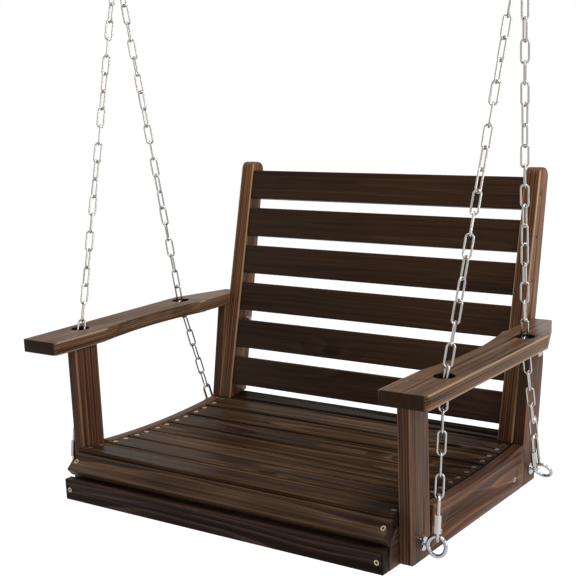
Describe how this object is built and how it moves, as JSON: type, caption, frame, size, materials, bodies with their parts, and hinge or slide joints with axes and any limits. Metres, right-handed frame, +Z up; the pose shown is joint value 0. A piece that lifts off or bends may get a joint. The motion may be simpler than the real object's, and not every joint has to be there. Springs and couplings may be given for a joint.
{
  "type": "porch swing seat",
  "caption": "Slatted wooden porch swing seat with a hollowed seat, leaning back and broad arms, hung by chains through its arms from ceiling eyes.",
  "frame": {"origin": "on the ceiling, midway between the two ceiling plates", "axes": "+Z up, +X to the sitter's left when seated facing forward (the viewer's right from the front), +Y towards the back of the seat"},
  "size_m": [0.824, 0.5619, 0.9297],
  "materials": {
    "side_wood": "dark reddish-brown stained softwood, satin",
    "seat_wood": "dark brown stained softwood with a grey sheen, satin",
    "arm_wood": "brown stained softwood, satin",
    "back_wood": "very dark brown stained softwood, satin",
    "zinc": "bright zinc-plated steel"
  },
  "bodies": {
    "ceiling": {"ceiling_eye_left": "zinc", "ceiling_eye_right": "zinc"},
    "rings": {"ring_left": "zinc", "ring_right": "zinc"},
    "chains_left": {"upper_chain_front_left": "zinc", "upper_chain_rear_left": "zinc"},
    "chains_right": {"upper_chain_front_right": "zinc", "upper_chain_rear_right": "zinc"},
    "seat": {"side_board_left": "side_wood", "side_board_right": "side_wood", "front_post_left": "side_wood", "front_post_right": "side_wood", "rear_post_left": "side_wood", "rear_post_right": "side_wood", "seat_rail_left": "side_wood", "seat_rail_right": "side_wood", "cross_rail": "side_wood", "seat_slat_1": "seat_wood", "seat_slat_2": "seat_wood", "seat_slat_3": "seat_wood", "seat_slat_4": "seat_wood", "seat_slat_5": "seat_wood", "seat_slat_6": "seat_wood", "seat_slat_7": "seat_wood", "seat_slat_8": "seat_wood", "nosing_slat": "seat_wood", "apron": "seat_wood", "back_stile_left": "side_wood", "back_stile_right": "side_wood", "back_slat_1": "back_wood", "back_slat_2": "back_wood", "back_slat_3": "back_wood", "back_slat_4": "back_wood", "back_slat_5": "back_wood", "back_slat_6": "back_wood", "arm_left": "arm_wood", "arm_right": "arm_wood", "arm_plugs": "side_wood", "arm_screws": "zinc", "seat_screws": "zinc", "front_screws": "zinc", "side_screws": "zinc", "back_screws": "zinc", "back_bolts": "zinc", "back_nuts": "zinc", "eye_bolts": "zinc", "eye_washers": "zinc", "eye_nuts": "zinc", "quick_links": "zinc", "lower_chain_front_left": "zinc", "lower_chain_front_right": "zinc", "lower_chain_rear_left": "zinc", "lower_chain_rear_right": "zinc"},
    "sleeve_front_left": {"sleeve_front_left": "zinc"},
    "sleeve_front_right": {"sleeve_front_right": "zinc"},
    "sleeve_rear_left": {"sleeve_rear_left": "zinc"},
    "sleeve_rear_right": {"sleeve_rear_right": "zinc"}
  },
  "joints": [
    {"name": "swing", "type": "hinge", "parent": "ceiling", "child": "rings", "pos_m": [0, 0, -0.026], "axis": [1, 0, 0], "range_deg": [-25, 25]},
    {"name": "sway", "type": "hinge", "parent": "rings", "child": "chains_left", "pos_m": [-0.387, 0, -0.0582], "axis": [0, 1, 0], "range_deg": [-6, 6]},
    {"name": "seat_level", "type": "hinge", "parent": "chains_left", "child": "seat", "pos_m": [-0.3535, 0, -0.6677], "axis": [0, 1, 0], "range_deg": [-7.5, 7.5]},
    {"name": "sway_right", "type": "hinge", "parent": "rings", "child": "chains_right", "pos_m": [0.387, 0, -0.0582], "axis": [0, 1, 0], "range_deg": [-7, 7]},
    {"name": "sleeve_front_left_slide", "type": "slide", "parent": "seat", "child": "sleeve_front_left", "axis": [0.0045, 0.1267, 0.9919], "range_m": [0, 0.0135]},
    {"name": "sleeve_front_right_slide", "type": "slide", "parent": "seat", "child": "sleeve_front_right", "axis": [-0.0045, 0.1267, 0.9919], "range_m": [0, 0.0135]},
    {"name": "sleeve_rear_left_slide", "type": "slide", "parent": "seat", "child": "sleeve_rear_left", "axis": [-0.0369, -0.2913, 0.9559], "range_m": [0, 0.0135]},
    {"name": "sleeve_rear_right_slide", "type": "slide", "parent": "seat", "child": "sleeve_rear_right", "axis": [0.0369, -0.2913, 0.9559], "range_m": [0, 0.0135]}
  ],
  "couplings": [
    {"joint": "seat_level", "follows": "sway", "ratio": -1.0948},
    {"joint": "sway_right", "follows": "sway", "ratio": 1}
  ]
}
